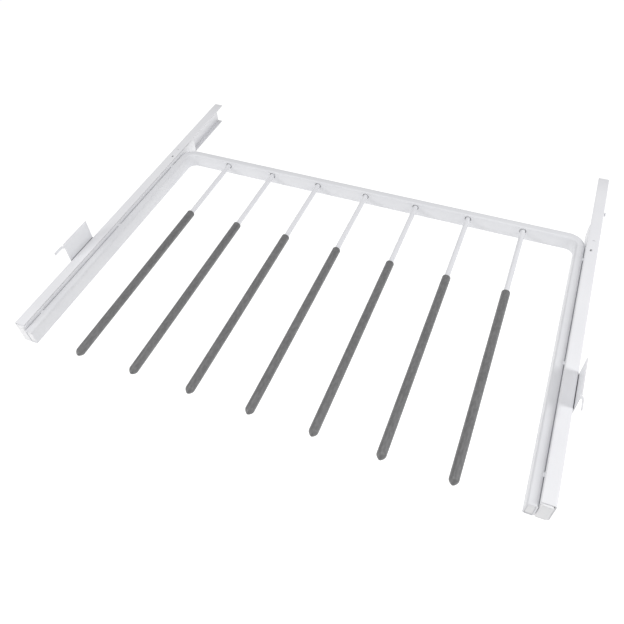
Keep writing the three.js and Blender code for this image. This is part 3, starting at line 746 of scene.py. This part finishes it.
def roller_profile(radius):
    """Half the wheel's section: hub, dish 0.5 deep, rim and tread, closed round the bore."""
    inner_face = [(0, bore), (0, bore + 1.6), (0.5, bore + 2.2), (0.5, radius - 2.4), (0, radius - 1.8),
                  (0, radius - 0.6), (0.6, radius)]
    outline = [(roller_inner + inward, r) for inward, r in inner_face]
    outline += [(roller_outer - inward, r) for inward, r in reversed(inner_face)]
    return eased(outline, radius=0.35, steps=3, closed=True)


for side_name, side in both_sides:
    for end, (y, z, radius) in roller_places.items():
        points, faces = turned(roller_profile(radius), sides=64, along=(side, 0, 0), centre=(0, y, z))
        fitted(f"{side_name}_{end}_nylon_wheel", points, faces, f"{side_name}_{end}_wheel",
               [f"{side_name}_{end}_roller"], off_white_nylon.material)


# AXLES
# Turned steel pins, zinc plated: the front ones riveted into the channel webs, the rear ones into the
# runner tails. Each has a boss, a journal that the roller turns on, and a low head.

bright_zinc = Finish("bright_zinc_plate", Metallic=1.0, Specular_IOR_Level=0.5)
lathe_marks = bright_zinc.grain(lumps=900, detail=3.0, stretch=(1, 0.2, 0.2))
spangle = bright_zinc.grain(lumps=320)
bright_zinc.set("Base Color", bright_zinc.blend(spangle.ramp(0.3, 0.7) * 0.7 + lathe_marks * 0.3,
                                                (0.66, 0.67, 0.69, 1), (0.52, 0.53, 0.56, 1)))
bright_zinc.set("Roughness", 0.26 + spangle * 0.12 + lathe_marks * 0.1)
bright_zinc.relief(lathe_marks, depth=0.00002)

# a riveted end stands this far out of its sheet
proud = 0.06
web_outside = runner_inner + sheet_thick
head_radius, head_thick, chamfer, shank_radius = 4, 0.8, 0.4, 2
boss_x, head_x = roller_inner - side_play, roller_outer + side_play
front_profile = eased([(boss_x - head_thick, 0), (boss_x - head_thick, head_radius - chamfer),
                       (boss_x - chamfer, head_radius), (boss_x, head_radius), (boss_x, journal),
                       (head_x, journal), (head_x, head_radius), (channel_web, head_radius),
                       (channel_web, shank_radius), (channel_outer + proud, shank_radius),
                       (channel_outer + proud, 0)], radius=0.2, steps=2)
rear_profile = eased([(runner_inner - proud, 0), (runner_inner - proud, shank_radius),
                      (web_outside, shank_radius), (web_outside, head_radius), (boss_x, head_radius),
                      (boss_x, journal), (head_x, journal), (head_x, head_radius),
                      (head_x + chamfer, head_radius), (head_x + head_thick, head_radius - chamfer),
                      (head_x + head_thick, 0)], radius=0.2, steps=2)
for side_name, side in both_sides:
    for end, profile, body in (("front", front_profile, "rails"), ("rear", rear_profile, "rack")):
        y, z, _ = roller_places[end]
        points, faces = turned(profile, sides=40, along=(side, 0, 0), centre=(0, y, z))
        fitted(f"{side_name}_{end}_pin", points, faces, body, [f"{side_name}_{end}_axle"],
               bright_zinc.material)


# HANGER BRACKETS
# A white sheet steel plate is riveted beside each channel, a hair off it, and rises above it. Its front
# top corner runs on forward as a narrow tongue, which a short bend sets outward.

# the brackets' coat is lighter than the channels' to stand in for light on the plates' inner faces, which is
# painted light, and it carries the painted shade in the crevice against the channel
bracket_coat_with_painted_light = powder_coat("white_bracket_coat", (0.87, 0.876, 0.9), painted_crevice_shade=True)
bracket_setback, bracket_width = 101.6, 42.2
bracket_rise, bracket_drop = 24.4, 24.0
bracket_front = bracket_setback - arm_reach
bracket_high, bracket_low = channel_top + bracket_rise, channel_top - bracket_drop
bracket_sheet, bracket_gap = 1.0, 0.4
plate_face = channel_outer + bracket_gap + bracket_sheet
tongue_length, tongue_bend, tongue_offset = 14.0, 2.5, 2.0
plate_rise = bracket_high - bracket_low
tongue_foot_drop, tongue_head_drop = 5.1, 1.7
tongue_foot, tongue_head = plate_rise - tongue_foot_drop, plate_rise - tongue_head_drop


def bracket_shape(s, t):
    """The plate's outer face, s back from the tongue's tip and t up. Ahead of the plate a smooth step,
    3w^2 - 2w^3 over the bend, sets it outward."""
    y = bracket_front - tongue_length + s
    w = np.clip((bracket_front - y) / tongue_bend, 0, 1)
    x = plate_face + tongue_offset * (3 * w ** 2 - 2 * w ** 3)
    return np.stack([x, y, bracket_low + t], -1)


bracket_s = np.concatenate([np.linspace(0, tongue_length - tongue_bend, 6),
                            np.linspace(tongue_length - tongue_bend, tongue_length, 7)[1:],
                            np.linspace(tongue_length, tongue_length + bracket_width, 9)[1:]])
bracket_t = np.concatenate([np.linspace(0, tongue_foot, 9), np.linspace(tongue_foot, tongue_head, 4)[1:],
                            [plate_rise]])
points, faces = skin(bracket_s, bracket_t, bracket_shape,
                     keep=lambda s, t: (s > tongue_length) | ((t > tongue_foot) & (t < tongue_head)))
for side_name, side in both_sides:
    fitted(f"{side_name}_hanger_plate", sided(points, side), faces, "rails", [f"{side_name}_bracket"],
           bracket_coat_with_painted_light, wall=bracket_sheet, edge=0.18, flip=side < 0, rim=cut_edge_tone)


# BRACKET RIVETS AND REAR STUDS
# Two flush zinc rivets hold each plate on thin collars, with low heads inside the channel. Near the
# channel's rear end a short headed stud, coated with the channel, stands out of its outer side.

collar_end = channel_outer + bracket_gap
shank, collar, tail_thick, low_chamfer = 1.5, 3, 0.7, 0.3
rivet_tail, stud_tail = 2.5, 2.4
tail_x = channel_web - tail_thick
flush_profile = eased([(tail_x, 0), (tail_x, rivet_tail - low_chamfer),
                       (channel_web - low_chamfer, rivet_tail), (channel_web, rivet_tail),
                       (channel_web, shank), (channel_outer, shank), (channel_outer, collar),
                       (collar_end, collar), (collar_end, shank), (plate_face + proud, shank),
                       (plate_face + proud, 0)], radius=0.18, steps=2)
neck_reach, stud_reach, stud_head = 1.8, 3.0, 2.6
neck_end, stud_end = channel_outer + neck_reach, channel_outer + stud_reach
stud_profile = eased([(tail_x, 0), (tail_x, stud_tail - low_chamfer), (channel_web - low_chamfer, stud_tail),
                      (channel_web, stud_tail), (channel_web, shank), (neck_end, shank),
                      (neck_end, stud_head), (stud_end - low_chamfer, stud_head),
                      (stud_end, stud_head - low_chamfer), (stud_end, 0)], radius=0.2, steps=2)
rivet_inset, rivet_rise, stud_setback, stud_drop = 10, 4.5, 59.1, 7.6
rivet_places = (bracket_front + rivet_inset, bracket_front + bracket_width - rivet_inset)
rivet_z = bracket_low + rivet_rise
stud_y, stud_z = channel_front + channel_length - stud_setback, channel_top - stud_drop
for side_name, side in both_sides:
    for place, y in enumerate(rivet_places, 1):
        points, faces = turned(flush_profile, sides=32, along=(side, 0, 0), centre=(0, y, rivet_z))
        fitted(f"{side_name}_plate_rivet_{place}", points, faces, "rails",
               [f"{side_name}_bracket_rivet_{place}"], bright_zinc.material)
    points, faces = turned(stud_profile, sides=32, along=(side, 0, 0), centre=(0, stud_y, stud_z))
    fitted(f"{side_name}_locating_stud", points, faces, "rails", [f"{side_name}_rear_stud"], slide_coat_with_painted_shade)
